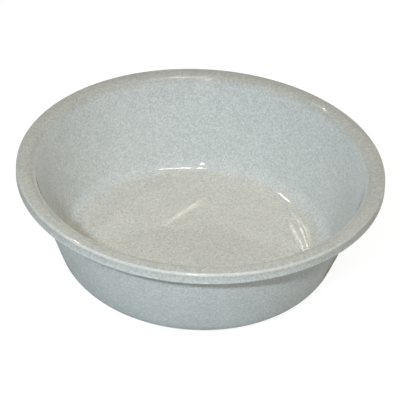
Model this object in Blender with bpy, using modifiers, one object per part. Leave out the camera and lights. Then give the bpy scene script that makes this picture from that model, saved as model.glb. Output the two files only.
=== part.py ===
"""A round plastic basin moulded in one piece: a bowl with a flat-topped rim, a skirt and a foot ring.

Sizes are in metres, +Z is up, and the origin is the middle of the plane that the foot ring stands on.
"""
import math

import bpy
from mathutils import Vector

# Overall size
RIM_DIAMETER = 0.358  # across the lower edge of the skirt, the widest place
HEIGHT = 0.111  # from the ground to the top of the rim

# Thickness of the plastic
WALL = 0.0018  # side wall, rim and skirt
FLOOR = 0.0022  # flat floor

# Rim, from the outside in
SKIRT_DROP = 0.0102  # from the top of the rim to the skirt's lower edge
SKIRT_LEAN = math.radians(4.0)  # from upright: the skirt spreads a little on its way down
RIM_INNER_FILLET = 0.0012  # under the rim, where the skirt turns down
FLANGE_FLAT = 0.0041  # width of the flat ring on top of the rim
LIP_RADIUS = 0.0115  # rounding from the flat ring into the bowl

# Side wall
WALL_LEAN = math.radians(11.3)  # from upright, where the wall leaves the lip
WALL_ARC_RADIUS = 0.775  # the wall swells a little between rim and base
BASE_FILLET = 0.0260  # outside, from the wall to the ground

# Underside
FOOT_WIDTH = 0.0060  # flat ring that the basin stands on
FOOT_RECESS = 0.0012  # the underside inside that ring is lifted by this much
GATE_DIAMETER = 0.0060  # moulding mark in the middle of the underside
GATE_HEIGHT = 0.0005

# Smoothness of the turned surface
TURN_STEPS = 72
FILLET_STEPS = 7
LIP_STEPS = 6
WALL_STEPS = 5
EDGE_STEPS = 3
MERGE_DISTANCE = 0.00001

# Finish: pale grey-blue plastic with a soft gloss
COLOUR = (0.50, 0.54, 0.53, 1.0)
ROUGHNESS = 0.25

UP = math.pi / 2
DOWN = -math.pi / 2


def toward(angle):
    """Unit vector in the profile's plane: angle 0 points away from the axis, a quarter turn points up."""
    return Vector((math.cos(angle), math.sin(angle)))


def arc(centre, radius, start, end, steps):
    """Points along an arc from the start angle to the end angle, both ends included."""
    turn = (end - start) / steps
    return [centre + radius * toward(start + turn * step) for step in range(steps + 1)]


def fillet_in_wall(wall_centre, radius, ground, reach):
    """Centre of a fillet that touches the ground and the wall's arc, and its angle from that arc's centre."""
    level = ground + radius
    across = math.sqrt(reach**2 - (level - wall_centre.y) ** 2)
    centre = Vector((wall_centre.x + across, level))
    return centre, math.atan2(level - wall_centre.y, across)


def basin_profile():
    """The basin's section: over the floor, up the inside, over the rim and down the outside to the axis."""
    floor_top = FOOT_RECESS + FLOOR

    # The skirt ends in a full round, and the rim's corner is tangent to the skirt's outer face
    edge = Vector((RIM_DIAMETER / 2 - WALL / 2, HEIGHT - SKIRT_DROP + WALL / 2))
    rim_corner = RIM_INNER_FILLET + WALL
    corner_level = HEIGHT - rim_corner
    corner_inset = rim_corner - WALL / 2 + (corner_level - edge.y) * math.sin(SKIRT_LEAN)
    corner = Vector((edge.x - corner_inset / math.cos(SKIRT_LEAN), corner_level))

    # The lip's arc turns from the flat ring into the wall, and the wall's arc carries on from it
    lip = Vector((corner.x - FLANGE_FLAT, HEIGHT - LIP_RADIUS))
    inward = math.pi - WALL_LEAN
    wall_centre = lip + (WALL_ARC_RADIUS - WALL + LIP_RADIUS) * toward(inward)

    # Both faces of the base's bend keep the wall's thickness
    reach = WALL_ARC_RADIUS - BASE_FILLET
    inner_fillet = BASE_FILLET - WALL
    inner_centre, inner_turn = fillet_in_wall(wall_centre, inner_fillet, floor_top, reach)
    outer_centre, outer_turn = fillet_in_wall(wall_centre, BASE_FILLET, 0.0, reach)

    foot_inner = outer_centre.x - FOOT_WIDTH
    gate_level = FOOT_RECESS - GATE_HEIGHT

    points = [Vector((0.0, floor_top))]
    points += arc(inner_centre, inner_fillet, DOWN, inner_turn, FILLET_STEPS)
    points += arc(wall_centre, WALL_ARC_RADIUS - WALL, inner_turn, -WALL_LEAN, WALL_STEPS)
    points += arc(lip, LIP_RADIUS, inward, UP, LIP_STEPS)
    points += arc(corner, rim_corner, UP, SKIRT_LEAN, EDGE_STEPS)
    points += arc(edge, WALL / 2, SKIRT_LEAN, SKIRT_LEAN - math.pi, EDGE_STEPS)
    points += arc(corner, RIM_INNER_FILLET, SKIRT_LEAN, UP, EDGE_STEPS)
    points += arc(lip, LIP_RADIUS - WALL, UP, inward, LIP_STEPS)
    points += arc(wall_centre, WALL_ARC_RADIUS, -WALL_LEAN, outer_turn, WALL_STEPS)
    points += arc(outer_centre, BASE_FILLET, outer_turn, DOWN, FILLET_STEPS)
    points.append(Vector((foot_inner, 0.0)))
    points.append(Vector((foot_inner - FOOT_RECESS, FOOT_RECESS)))
    points.append(Vector((GATE_DIAMETER / 2, FOOT_RECESS)))
    points.append(Vector((GATE_DIAMETER / 2, gate_level)))
    points.append(Vector((0.0, gate_level)))
    return without_repeats(points)


def without_repeats(points):
    """The same points, with each that lies on the one before it left out, as where two arcs meet."""
    kept = points[:1]
    for point in points[1:]:
        if (point - kept[-1]).length > MERGE_DISTANCE:
            kept.append(point)
    return kept


def turned(name, profile, collection):
    """An object made by turning a profile, given from top to bottom of its outer side, about the Z axis."""
    mesh = bpy.data.meshes.new(name)
    vertices = [(point.x, 0.0, point.y) for point in profile]
    edges = [(index, index + 1) for index in range(len(profile) - 1)]
    mesh.from_pydata(vertices, edges, [])

    piece = bpy.data.objects.new(name, mesh)
    collection.objects.link(piece)
    screw = piece.modifiers.new("Turn", "SCREW")
    screw.axis = "Z"
    screw.angle = math.tau
    screw.steps = TURN_STEPS
    screw.render_steps = TURN_STEPS
    screw.use_merge_vertices = True
    screw.merge_threshold = MERGE_DISTANCE
    screw.use_smooth_shade = True
    return piece


def plastic(name):
    """The moulded plastic's finish."""
    material = bpy.data.materials.new(name)
    material.use_nodes = True
    shader = material.node_tree.nodes["Principled BSDF"]
    shader.inputs["Base Color"].default_value = COLOUR
    shader.inputs["Roughness"].default_value = ROUGHNESS
    shader.inputs["Metallic"].default_value = 0.0
    return material


def main():
    for old in list(bpy.data.objects):
        bpy.data.objects.remove(old)

    collection = bpy.data.collections.new("plastic_basin")
    bpy.context.scene.collection.children.link(collection)

    basin = turned("basin", basin_profile(), collection)
    basin.data.materials.append(plastic("moulded_plastic"))


main()
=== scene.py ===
"""The basin's looks: a finer turned shell in speckled glossy plastic, on a pale floor in studio light."""
import math

import bmesh
import bpy
from mathutils import Matrix, Vector


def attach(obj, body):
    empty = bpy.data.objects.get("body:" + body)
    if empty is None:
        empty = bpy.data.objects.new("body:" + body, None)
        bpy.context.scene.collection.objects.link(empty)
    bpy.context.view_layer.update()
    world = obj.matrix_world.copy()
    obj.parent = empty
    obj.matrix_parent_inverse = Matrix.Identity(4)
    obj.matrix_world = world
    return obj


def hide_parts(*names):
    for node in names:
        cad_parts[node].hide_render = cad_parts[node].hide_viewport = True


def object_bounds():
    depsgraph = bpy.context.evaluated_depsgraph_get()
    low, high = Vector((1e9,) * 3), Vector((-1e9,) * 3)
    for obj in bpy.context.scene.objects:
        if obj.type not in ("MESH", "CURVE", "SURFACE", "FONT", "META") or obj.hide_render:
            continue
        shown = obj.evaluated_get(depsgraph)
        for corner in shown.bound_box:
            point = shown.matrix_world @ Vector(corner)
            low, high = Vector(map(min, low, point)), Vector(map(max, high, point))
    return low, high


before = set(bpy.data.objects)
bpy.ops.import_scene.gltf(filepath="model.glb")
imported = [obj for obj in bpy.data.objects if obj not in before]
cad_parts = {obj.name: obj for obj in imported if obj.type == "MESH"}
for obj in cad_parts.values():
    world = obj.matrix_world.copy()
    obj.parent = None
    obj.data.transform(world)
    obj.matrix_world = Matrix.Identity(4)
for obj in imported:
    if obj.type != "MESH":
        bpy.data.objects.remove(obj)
cad_low, cad_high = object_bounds()

# Sizes of the basin, in metres. The rim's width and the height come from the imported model
RIM_RADIUS = (cad_high.x - cad_low.x) / 2
HEIGHT = cad_high.z
WALL = 0.0018
FLOOR = 0.0022
SKIRT_DROP = 0.0102
SKIRT_LEAN = math.radians(4.0)
RIM_INNER_FILLET = 0.0012
FLANGE_FLAT = 0.0041
LIP_RADIUS = 0.0115
WALL_LEAN = math.radians(11.3)
WALL_ARC_RADIUS = 0.775
BASE_FILLET = 0.0260
FOOT_WIDTH = 0.0060
FOOT_RECESS = 0.0012
FOOT_ROUND = 0.0006
GATE_RADIUS = 0.0030
GATE_HEIGHT = 0.0005
GATE_ROUND = 0.0003
FLOOR_TOP = FOOT_RECESS + FLOOR
SKIRT_EDGE = HEIGHT - SKIRT_DROP

# Fineness of the turned mesh
TURN_STEPS = 240
FILLET_STEPS = 24
LIP_STEPS = 20
WALL_STEPS = 20
EDGE_STEPS = 8
FLOOR_STEPS = 12
ROUND_STEPS = 4
SAME_POINT = 0.00001

# The plastic: pale grey grains, each a little darker or paler than the next, and some dark flecks
DARK_GRAIN = (0.505, 0.53, 0.53, 1.0)
PALE_GRAIN = (0.715, 0.72, 0.70, 1.0)
DARK_FLECK = (0.31, 0.36, 0.37, 1.0)
CLOUD_TINT = (0.965, 0.97, 0.97, 1.0)
GRAIN_SIZE = 0.00125
WOBBLE_SIZE = 0.0009  # of the noise that bends the outlines of grains and flecks
WOBBLE_REACH = 0.0012  # from its one extreme to the other
FLECK_CELL = 0.0022
FLECK_RADIUS = 0.00055
FLECK_SHARE = 0.5  # of the cells, which hold one fleck each
FLECK_SOFTNESS = (0.7, 1.2)  # a fleck fades between these shares of its radius
FLECK_FAINTEST = 0.35  # beside the strongest fleck
FLECK_STRENGTH = 0.6
CLOUD_SIZE = 0.03
CLOUD_LEVELS = (0.35, 0.65)  # levels of noise between which the clouds come in
PLASTIC_IOR = 1.57
GLOSS_ROUGHNESS = 0.03
GLOSS_CHANGE = 0.01  # up and down, in patches
PATCH_SIZE = 0.012
PATCH_DETAIL = 4.0
PATCH_LEVELS = (0.3, 0.7)  # levels of noise at the glossiest and the dullest
RIPPLE_SIZE = 0.006
RIPPLE_DEPTH = 0.00001

# Its wear, the painted shade on the rim and the painted warm light on the bowl's floor; the paler band along
# the rim's corner is wear and partly a painted highlight. A pair of values says where each begins and where
# it is full
# Painted shade: the rim's flange and skirt are darkened and warmed
RIM_PAINTED_SHADE = (0.775, 0.75, 0.705, 1.0)
RIM_SHADE_AND_WEAR_DROP = (0.0112, 0.0010)  # below the top of the rim
# Painted warm light: the bowl's floor is tinted warm, as if lit from above
FLOOR_WARM_LIGHT = (0.95, 0.905, 0.85, 1.0)
FLOOR_WARM_LIGHT_RISE = (0.0081, 0.0002)  # above the bowl's floor
# The paler scuff colour also makes the band along the rim's corner, which is wear and partly a painted
# highlight
PALE_SCUFF_AND_HIGHLIGHT = (0.74, 0.745, 0.73, 1.0)
PALE_SCUFF_AND_HIGHLIGHT_STRENGTH = 0.5
SCUFF_ROUGHNESS = 0.38
SCUFF_SIZE = 0.007
SCUFF_DETAIL = 6.0
SCUFF_LEVELS = (0.50, 0.62)
EDGE_RISE = (0.0014, 0.0004)  # above the skirt's lower edge
EDGE_INSET = (0.0030, 0.0020)  # in from the widest place
FOOT_RISE = (0.00108, 0.00036)  # above the ground
CORNER_INSET = (0.0030, 0.0016)
CORNER_DROP = (0.0026, 0.0012)
WORN_ROUGHNESS = 0.18
WEAR_AND_HIGHLIGHT_SIZE = 0.015
WEAR_AND_HIGHLIGHT_LEVELS = (0.3, 0.7)
WEAR_AND_HIGHLIGHT_LEAST = 0.5
SCRATCH_ROUGHNESS = 0.14
SCRATCH_LENGTH = 0.03
SCRATCH_WIDTH = 0.0004
SCRATCH_LEVELS = (0.66, 0.72)
SCRATCH_TURNS = (0.3, 1.5, 2.4)

# The photograph's camera: a long lens above the front of the basin, held a little askew
IMAGE_SIDE = 400
FOCAL_PIXELS = 1100
SENSOR_WIDTH = 36.0
CAMERA_PLACE = Vector((0.0, -0.8930, 0.7023))
CAMERA_AIM = Vector((0.0008, 0.0, 0.0600))
CAMERA_ROLL = math.radians(3.12)

# The studio
MIDDLE = Vector((0.0, 0.0, 0.06))
CEILING = 1.66
FLOOR_LEVEL = -0.0002
FLOOR_HALF = 6.0
FLOOR_GLOW = 0.93
FLOOR_SHADE = (0.12, 0.12, 0.12, 1.0)
FLOOR_PALE = (0.57, 0.565, 0.545, 1.0)
BACKDROP = (1.0, 1.0, 1.0, 1.0)
ROOM_GLOW = 0.02

# Colours of the lamps
WHITE = (1.0, 1.0, 1.0)
BLUE_WHITE = (0.755, 0.90, 1.0)
COOL_WHITE = (0.96, 0.98, 1.0)
WARM_WHITE = (1.0, 0.97, 0.92)
CREAM = (1.0, 0.93, 0.82)
DEEP_CREAM = (1.0, 0.89, 0.73)
TUBE_WARM = (1.0, 0.90, 0.72)

UP = math.pi / 2
DOWN = -math.pi / 2


def toward(angle):
    """Unit vector in the profile's plane: angle 0 points away from the axis, a quarter turn points up."""
    return Vector((math.cos(angle), math.sin(angle)))


def arc(centre, radius, start, end, steps):
    """Points along an arc from the start angle to the end angle, both ends included."""
    turn = (end - start) / steps
    return [centre + radius * toward(start + turn * step) for step in range(steps + 1)]


def straight(start, end, steps):
    """Points along a straight line, both ends included."""
    return [start.lerp(end, step / steps) for step in range(steps + 1)]


def rounded(corner, before, after, radius, steps):
    """Points that round a corner of the profile between the points before and after it."""
    first = (before - corner).normalized()
    second = (after - corner).normalized()
    half = first.angle(second) / 2
    reach = radius / math.tan(half)
    centre = corner + (first + second).normalized() * (radius / math.sin(half))
    start = corner + first * reach - centre
    end = corner + second * reach - centre
    begin = math.atan2(start.y, start.x)
    turn = (math.atan2(end.y, end.x) - begin + math.pi) % math.tau - math.pi
    return arc(centre, radius, begin, begin + turn, steps)


def fillet_in_wall(wall_centre, radius, ground, reach):
    """Centre of a fillet that touches the ground and the wall's arc, and its angle from the arc's centre."""
    level = ground + radius
    across = math.sqrt(reach**2 - (level - wall_centre.y) ** 2)
    centre = Vector((wall_centre.x + across, level))
    return centre, math.atan2(level - wall_centre.y, across)


def basin_profile():
    """The basin's section: over the floor, up the inside, over the rim and down the outside to the axis."""
    # The skirt ends in a full round, and the rim's corner is tangent to the skirt's outer face
    edge = Vector((RIM_RADIUS - WALL / 2, SKIRT_EDGE + WALL / 2))
    rim_corner = RIM_INNER_FILLET + WALL
    corner_level = HEIGHT - rim_corner
    corner_inset = rim_corner - WALL / 2 + (corner_level - edge.y) * math.sin(SKIRT_LEAN)
    corner = Vector((edge.x - corner_inset / math.cos(SKIRT_LEAN), corner_level))

    # The lip's arc turns from the flat ring into the wall, and the wall's arc carries on from it
    lip = Vector((corner.x - FLANGE_FLAT, HEIGHT - LIP_RADIUS))
    inward = math.pi - WALL_LEAN
    wall_centre = lip + (WALL_ARC_RADIUS - WALL + LIP_RADIUS) * toward(inward)

    # Both faces of the base's bend keep the wall's thickness
    reach = WALL_ARC_RADIUS - BASE_FILLET
    inner_fillet = BASE_FILLET - WALL
    inner_centre, inner_turn = fillet_in_wall(wall_centre, inner_fillet, FLOOR_TOP, reach)
    outer_centre, outer_turn = fillet_in_wall(wall_centre, BASE_FILLET, 0.0, reach)

    # Underneath are the foot ring, the recess inside it and the moulding mark
    foot_end = Vector((outer_centre.x, 0.0))
    foot_inner = Vector((outer_centre.x - FOOT_WIDTH, 0.0))
    recess_edge = foot_inner + Vector((-FOOT_RECESS, FOOT_RECESS))
    gate_foot = Vector((GATE_RADIUS, FOOT_RECESS))
    gate_edge = Vector((GATE_RADIUS, FOOT_RECESS - GATE_HEIGHT))
    gate_middle = Vector((0.0, FOOT_RECESS - GATE_HEIGHT))

    points = straight(Vector((0.0, FLOOR_TOP)), Vector((inner_centre.x, FLOOR_TOP)), FLOOR_STEPS)
    points += arc(inner_centre, inner_fillet, DOWN, inner_turn, FILLET_STEPS)
    points += arc(wall_centre, WALL_ARC_RADIUS - WALL, inner_turn, -WALL_LEAN, WALL_STEPS)
    points += arc(lip, LIP_RADIUS, inward, UP, LIP_STEPS)
    points += arc(corner, rim_corner, UP, SKIRT_LEAN, EDGE_STEPS)
    points += arc(edge, WALL / 2, SKIRT_LEAN, SKIRT_LEAN - math.pi, EDGE_STEPS)
    points += arc(corner, RIM_INNER_FILLET, SKIRT_LEAN, UP, EDGE_STEPS)
    points += arc(lip, LIP_RADIUS - WALL, UP, inward, LIP_STEPS)
    points += arc(wall_centre, WALL_ARC_RADIUS, -WALL_LEAN, outer_turn, WALL_STEPS)
    points += arc(outer_centre, BASE_FILLET, outer_turn, DOWN, FILLET_STEPS)
    points += rounded(foot_inner, foot_end, recess_edge, FOOT_ROUND, ROUND_STEPS)
    points += rounded(recess_edge, foot_inner, gate_foot, FOOT_ROUND, ROUND_STEPS)
    points += straight(recess_edge, gate_foot, FLOOR_STEPS)[1:-1]
    points += [gate_foot]
    points += rounded(gate_edge, gate_foot, gate_middle, GATE_ROUND, ROUND_STEPS)
    points += [gate_middle]
    return without_repeats(points)


def without_repeats(points):
    """The same points, with each that lies on the one before it left out, as where two arcs meet."""
    kept = points[:1]
    for point in points[1:]:
        if (point - kept[-1]).length > SAME_POINT:
            kept.append(point)
    return kept


def turned_shell(name):
    """The basin's shell, turned about the Z axis as one closed mesh."""
    bm = bmesh.new()
    line = [bm.verts.new((point.x, 0.0, point.y)) for point in basin_profile()]
    edges = [bm.edges.new(pair) for pair in zip(line, line[1:])]
    bmesh.ops.spin(
        bm,
        geom=line + edges,
        cent=(0, 0, 0),
        axis=(0, 0, 1),
        angle=math.tau,
        steps=TURN_STEPS,
        use_merge=True,
    )
    bmesh.ops.remove_doubles(bm, verts=bm.verts, dist=SAME_POINT)
    bmesh.ops.recalc_face_normals(bm, faces=bm.faces)

    mesh = bpy.data.meshes.new(name)
    bm.to_mesh(mesh)
    bm.free()
    mesh.shade_smooth()
    shell = bpy.data.objects.new(name, mesh)
    bpy.context.scene.collection.objects.link(shell)
    return shell


class Nodes:
    """Short ways to add and link the nodes of one material or world."""

    def __init__(self, tree):
        self.tree = tree
        self.tree.nodes.clear()

    def add(self, kind, inputs=None, **settings):
        """A new node: each input takes a value, or a link from another node's output."""
        node = self.tree.nodes.new(kind)
        for key, value in settings.items():
            setattr(node, key, value)
        for key, value in (inputs or {}).items():
            if isinstance(value, bpy.types.NodeSocket):
                self.tree.links.new(value, node.inputs[key])
            else:
                node.inputs[key].default_value = value
        return node

    def maths(self, operation, first, second):
        """The result of a sum on two numbers."""
        return self.add("ShaderNodeMath", {0: first, 1: second}, operation=operation).outputs[0]

    def product(self, first, second):
        """Two numbers multiplied."""
        return self.maths("MULTIPLY", first, second)

    def greatest(self, first, second):
        """The greater of two numbers."""
        return self.maths("MAXIMUM", first, second)

    def vector(self, operation, first, second):
        """The result of a sum on two vectors."""
        return self.add("ShaderNodeVectorMath", {0: first, 1: second}, operation=operation).outputs[0]

    def ramp(self, value, start, end, low=0.0, high=1.0):
        """A number that goes smoothly from low to high while the value goes from start to end."""
        limits = {"Value": value, "From Min": start, "From Max": end, "To Min": low, "To Max": high}
        return self.add("ShaderNodeMapRange", limits, interpolation_type="SMOOTHSTEP").outputs[0]

    def blend(self, share, first, second, way="MIX"):
        """A colour between two others, or a colour tinted by another."""
        inputs = {0: share, 6: first, 7: second}
        return self.add("ShaderNodeMix", inputs, data_type="RGBA", blend_type=way).outputs[2]

    def tint(self, share, colour, tone):
        """A colour multiplied by a tone, as far as the share says."""
        return self.blend(share, colour, tone, "MULTIPLY")

    def noise(self, place, size, detail=2.0):
        """Soft random spots of about the given size in metres."""
        return self.add("ShaderNodeTexNoise", {"Vector": place, "Scale": 1.0 / size, "Detail": detail})

    def patches(self, place, size, levels, detail=2.0, low=0.0, high=1.0):
        """A number that wanders from low to high in soft patches of about the given size in metres."""
        return self.ramp(self.noise(place, size, detail).outputs[0], *levels, low, high)


def new_material(name):
    """An empty material and its nodes."""
    material = bpy.data.materials.new(name)
    material.use_nodes = True
    return material, Nodes(material.node_tree)


def flecks(nodes, place):
    """Strength of flecks, at most one to a cell, each as strong as chance has it."""
    cells = nodes.add("ShaderNodeTexVoronoi", {"Vector": place, "Scale": 1.0 / FLECK_CELL})
    full, gone = (FLECK_RADIUS / FLECK_CELL * softness for softness in FLECK_SOFTNESS)
    shape = nodes.ramp(cells.outputs["Distance"], full, gone, 1.0, 0.0)
    chance = nodes.add("ShaderNodeSeparateColor", {0: cells.outputs["Color"]})
    chosen = nodes.maths("LESS_THAN", chance.outputs[0], FLECK_SHARE)
    strength = nodes.ramp(chance.outputs[1], 0.0, 1.0, FLECK_FAINTEST, 1.0)
    return nodes.product(nodes.product(shape, chosen), strength)


def speckles(nodes, place):
    """The plastic's own colour: grains and flecks with uneven outlines, and faint clouds from the melt."""
    wobble = nodes.vector("SUBTRACT", nodes.noise(place, WOBBLE_SIZE).outputs["Color"], (0.5, 0.5, 0.5))
    bent = nodes.vector("ADD", place, nodes.vector("MULTIPLY", wobble, (WOBBLE_REACH,) * 3))
    cells = nodes.add("ShaderNodeTexVoronoi", {"Vector": bent, "Scale": 1.0 / GRAIN_SIZE})
    grain = nodes.add("ShaderNodeSeparateColor", {0: cells.outputs["Color"]}).outputs[0]
    colour = nodes.blend(grain, DARK_GRAIN, PALE_GRAIN)
    colour = nodes.blend(nodes.product(flecks(nodes, bent), FLECK_STRENGTH), colour, DARK_FLECK)
    return nodes.tint(nodes.patches(place, CLOUD_SIZE, CLOUD_LEVELS), colour, CLOUD_TINT)


def wear_below(nodes, value, limit, distances):
    """Wear just below a limit of height or radius: it begins and is full at two distances from it."""
    begin, full = distances
    return nodes.ramp(value, limit - begin, limit - full)


def wear_above(nodes, value, limit, distances):
    """Wear just above a limit of height: it begins and is full at two distances from it."""
    begin, full = distances
    return nodes.ramp(value, limit + full, limit + begin, 1.0, 0.0)


def scuffs(nodes, place, height, radius):
    """Strength of the broken scuffs along the skirt's lower edge and the foot ring."""
    edge = wear_above(nodes, height, SKIRT_EDGE, EDGE_RISE)
    edge = nodes.product(edge, wear_below(nodes, radius, RIM_RADIUS, EDGE_INSET))
    foot = wear_above(nodes, height, 0.0, FOOT_RISE)
    broken = nodes.patches(place, SCUFF_SIZE, SCUFF_LEVELS, SCUFF_DETAIL)
    return nodes.product(nodes.greatest(edge, foot), broken)


def corner_wear_and_painted_highlight(nodes, place, height, radius, rim_shade_and_wear):
    """Strength of the even wear along the rim's outer corner, a paler band that is partly a painted
    highlight.
    """
    corner = nodes.product(wear_below(nodes, radius, RIM_RADIUS, CORNER_INSET), rim_shade_and_wear)
    corner = nodes.product(corner, wear_below(nodes, height, HEIGHT, CORNER_DROP))
    return nodes.product(corner, nodes.patches(place, WEAR_AND_HIGHLIGHT_SIZE, WEAR_AND_HIGHLIGHT_LEVELS, low=WEAR_AND_HIGHLIGHT_LEAST))


def scratches(nodes, place):
    """Strength of hair scratches that run a few ways across the floor, each a stretched ridge of noise."""
    lengths = (SCRATCH_LENGTH, SCRATCH_WIDTH, 1.0)
    strength = 0.0
    for angle in SCRATCH_TURNS:
        inputs = {"Vector": place, "Angle": angle}
        turned = nodes.add("ShaderNodeVectorRotate", inputs, rotation_type="Z_AXIS").outputs[0]
        stretched = nodes.vector("DIVIDE", turned, lengths)
        strength = nodes.greatest(strength, nodes.patches(stretched, 1.0, SCRATCH_LEVELS, detail=0.0))
    return strength


def speckled_plastic():
    """Glossy speckled plastic, scratched on the bowl's floor and scuffed where it is held and where it
    stands, with painted shade on the rim, painted warm light on the bowl's floor and a paler band of wear
    along the rim's corner that is partly a painted highlight.
    """
    material, nodes = new_material("speckled_plastic")
    place = nodes.add("ShaderNodeTexCoord").outputs["Object"]
    height = nodes.add("ShaderNodeSeparateXYZ", {0: place}).outputs[2]
    flat = nodes.vector("MULTIPLY", place, (1.0, 1.0, 0.0))
    radius = nodes.add("ShaderNodeVectorMath", {0: flat}, operation="LENGTH").outputs["Value"]

    # The rim is darkened and warmed by painted shade, and the bowl's floor is tinted a little yellow by
    # painted warm light
    rim_shade_and_wear = wear_below(nodes, height, HEIGHT, RIM_SHADE_AND_WEAR_DROP)
    inside = nodes.ramp(height, FOOT_RECESS, FLOOR_TOP)
    floor_warm_light_and_scratch_area = nodes.product(inside, wear_above(nodes, height, FLOOR_TOP, FLOOR_WARM_LIGHT_RISE))
    colour = nodes.tint(rim_shade_and_wear, speckles(nodes, place), RIM_PAINTED_SHADE)
    colour = nodes.tint(floor_warm_light_and_scratch_area, colour, FLOOR_WARM_LIGHT)

    # Scuffs and wear are paler; along the rim's corner the paler band is also a painted highlight
    scuffed = scuffs(nodes, place, height, radius)
    wear_and_highlight = corner_wear_and_painted_highlight(nodes, place, height, radius, rim_shade_and_wear)
    colour = nodes.blend(nodes.product(nodes.greatest(scuffed, wear_and_highlight), PALE_SCUFF_AND_HIGHLIGHT_STRENGTH), colour, PALE_SCUFF_AND_HIGHLIGHT)

    # The gloss is a little uneven all over, and duller in the scratches, the scuffs and the wear
    glossiest = GLOSS_ROUGHNESS - GLOSS_CHANGE
    dullest = GLOSS_ROUGHNESS + GLOSS_CHANGE
    roughness = nodes.patches(place, PATCH_SIZE, PATCH_LEVELS, PATCH_DETAIL, glossiest, dullest)
    scratched = nodes.product(scratches(nodes, place), floor_warm_light_and_scratch_area)
    roughness = nodes.greatest(roughness, nodes.product(scratched, SCRATCH_ROUGHNESS))
    roughness = nodes.greatest(roughness, nodes.product(scuffed, SCUFF_ROUGHNESS))
    roughness = nodes.greatest(roughness, nodes.product(wear_and_highlight, WORN_ROUGHNESS))

    ripple = nodes.noise(place, RIPPLE_SIZE).outputs[0]
    bump = nodes.add("ShaderNodeBump", {"Height": ripple, "Strength": 1.0, "Distance": RIPPLE_DEPTH})
    shader = nodes.add(
        "ShaderNodeBsdfPrincipled",
        {"Base Color": colour, "Roughness": roughness, "IOR": PLASTIC_IOR, "Normal": bump.outputs[0]},
    )
    nodes.add("ShaderNodeOutputMaterial", {"Surface": shader.outputs[0]})
    return material


def floor_material():
    """White to the camera, with the basin's shadow, pale to everything else, and clear from below."""
    material, nodes = new_material("pale_floor")
    pale = nodes.add("ShaderNodeBsdfDiffuse", {"Color": FLOOR_PALE})
    glow = nodes.add("ShaderNodeEmission", {"Color": BACKDROP, "Strength": FLOOR_GLOW})
    shade = nodes.add("ShaderNodeBsdfDiffuse", {"Color": FLOOR_SHADE})
    white = nodes.add("ShaderNodeAddShader", {0: glow.outputs[0], 1: shade.outputs[0]})
    seen = nodes.add("ShaderNodeLightPath").outputs["Is Camera Ray"]
    above = nodes.add("ShaderNodeMixShader", {0: seen, 1: pale.outputs[0], 2: white.outputs[0]})
    below = nodes.add("ShaderNodeNewGeometry").outputs["Backfacing"]
    clear = nodes.add("ShaderNodeBsdfTransparent")
    both = nodes.add("ShaderNodeMixShader", {0: below, 1: above.outputs[0], 2: clear.outputs[0]})
    nodes.add("ShaderNodeOutputMaterial", {"Surface": both.outputs[0]})
    return material


def add_floor():
    """A wide pale floor just under the basin's foot."""
    bm = bmesh.new()
    bmesh.ops.create_grid(bm, x_segments=1, y_segments=1, size=FLOOR_HALF)
    mesh = bpy.data.meshes.new("studio_floor")
    bm.to_mesh(mesh)
    bm.free()
    mesh.materials.append(floor_material())
    ground = bpy.data.objects.new("studio_floor", mesh)
    ground.location.z = FLOOR_LEVEL
    bpy.context.scene.collection.objects.link(ground)


def direction(azimuth, elevation):
    """Unit vector from the basin, in degrees: azimuth 0 is the camera's side and 90 its right."""
    turn = math.radians(azimuth)
    rise = math.radians(elevation)
    flat = math.cos(rise)
    return Vector((math.sin(turn) * flat, -math.cos(turn) * flat, math.sin(rise)))


def area_light(name, place, size, power, colour, long_axis=None):
    """An area lamp of the given width and height that faces the basin, and that the camera does not see."""
    lamp = bpy.data.lights.new(name, "AREA")
    lamp.shape = "RECTANGLE"
    lamp.size, lamp.size_y = size
    lamp.energy = power
    lamp.color = colour

    back = (place - MIDDLE).normalized()
    side = (long_axis or Vector((0, 0, 1)).cross(back)).normalized()
    side = (side - back * side.dot(back)).normalized()
    facing = Matrix((side, back.cross(side), back)).transposed().to_4x4()
    light = bpy.data.objects.new(name, lamp)
    light.matrix_world = Matrix.Translation(place) @ facing
    light.visible_camera = False
    bpy.context.scene.collection.objects.link(light)
    return light


def square_light(name, azimuth, elevation, distance, side, power, colour):
    """A square lamp at a distance from the basin."""
    place = MIDDLE + direction(azimuth, elevation) * distance
    return area_light(name, place, (side, side), power, colour)


def soft_box(name, azimuth, elevation, distance, side, power, colour):
    """A square lamp that the basin's gloss does not show."""
    square_light(name, azimuth, elevation, distance, side, power, colour).visible_glossy = False


def tube(name, start, end, width, power):
    """A warm lamp tube on the ceiling, between two places given as x and y."""
    first = Vector((*start, CEILING))
    last = Vector((*end, CEILING))
    run = last - first
    area_light(name, (first + last) / 2, (run.length, width), power, TUBE_WARM, run)


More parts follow.
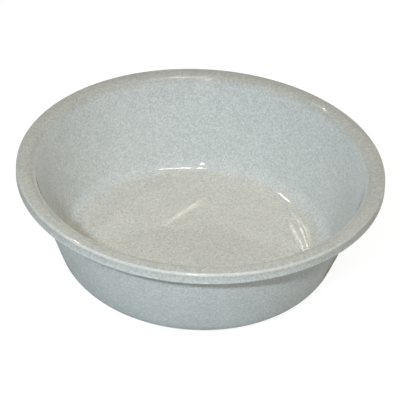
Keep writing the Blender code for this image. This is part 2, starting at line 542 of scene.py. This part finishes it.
def add_lights():
    """A cool key lamp and a flash above the camera, fills at the sides and the back, and tubes overhead."""
    square_light("flash", -1, 43, 1.25, 0.05, 1.5, WHITE)
    soft_box("key", -13, 40.5, 1.3, 0.06, 11.0, BLUE_WHITE)
    soft_box("left", -35, 62, 2.0, 0.6, 3.0, CREAM)
    soft_box("right", 78, 60, 2.0, 0.8, 6.5, DEEP_CREAM)
    soft_box("back_left", -150, 9, 2.0, 0.5, 14.0, COOL_WHITE)
    soft_box("back_right", 150, 9, 2.0, 0.5, 14.0, WARM_WHITE)
    tube("tube_front", (-0.10, -0.585), (0.22, -0.640), 0.025, 2.6)
    tube("tube_front_pair", (0.22, -0.640), (0.74, -0.595), 0.025, 3.8)
    tube("tube_far", (1.27, 1.14), (0.80, 1.76), 0.06, 0.3)
    tube("tube_back", (-0.79, 0.64), (-0.86, 0.83), 0.030, 1.8)
    tube("tube_back_pair", (-0.92, 0.45), (-0.92, 0.75), 0.020, 1.5)


def add_world():
    """White to the camera, and next to dark to everything else."""
    world = bpy.data.worlds.new("studio")
    world.use_nodes = True
    bpy.context.scene.world = world
    nodes = Nodes(world.node_tree)
    seen = nodes.add("ShaderNodeLightPath").outputs["Is Camera Ray"]
    strength = nodes.ramp(seen, 0.0, 1.0, ROOM_GLOW, 1.0)
    background = nodes.add("ShaderNodeBackground", {"Color": BACKDROP, "Strength": strength})
    nodes.add("ShaderNodeOutputWorld", {"Surface": background.outputs[0]})


def add_camera():
    """The camera at the photograph's place."""
    data = bpy.data.cameras.new("photo_camera")
    data.sensor_width = SENSOR_WIDTH
    data.lens = FOCAL_PIXELS / IMAGE_SIDE * SENSOR_WIDTH
    camera = bpy.data.objects.new("photo_camera", data)
    facing = (CAMERA_AIM - CAMERA_PLACE).to_track_quat("-Z", "Y").to_matrix().to_4x4()
    roll = Matrix.Rotation(CAMERA_ROLL, 4, "Z")
    camera.matrix_world = Matrix.Translation(CAMERA_PLACE) @ facing @ roll
    bpy.context.scene.collection.objects.link(camera)
    bpy.context.scene.camera = camera


def main():
    """Dress the basin, then set up the studio around it."""
    shell = turned_shell("basin_shell")
    shell.data.materials.append(speckled_plastic())
    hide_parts("basin")
    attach(shell, "root")
    add_floor()
    add_lights()
    add_world()
    add_camera()
    bpy.context.scene.view_settings.view_transform = "Standard"


main()
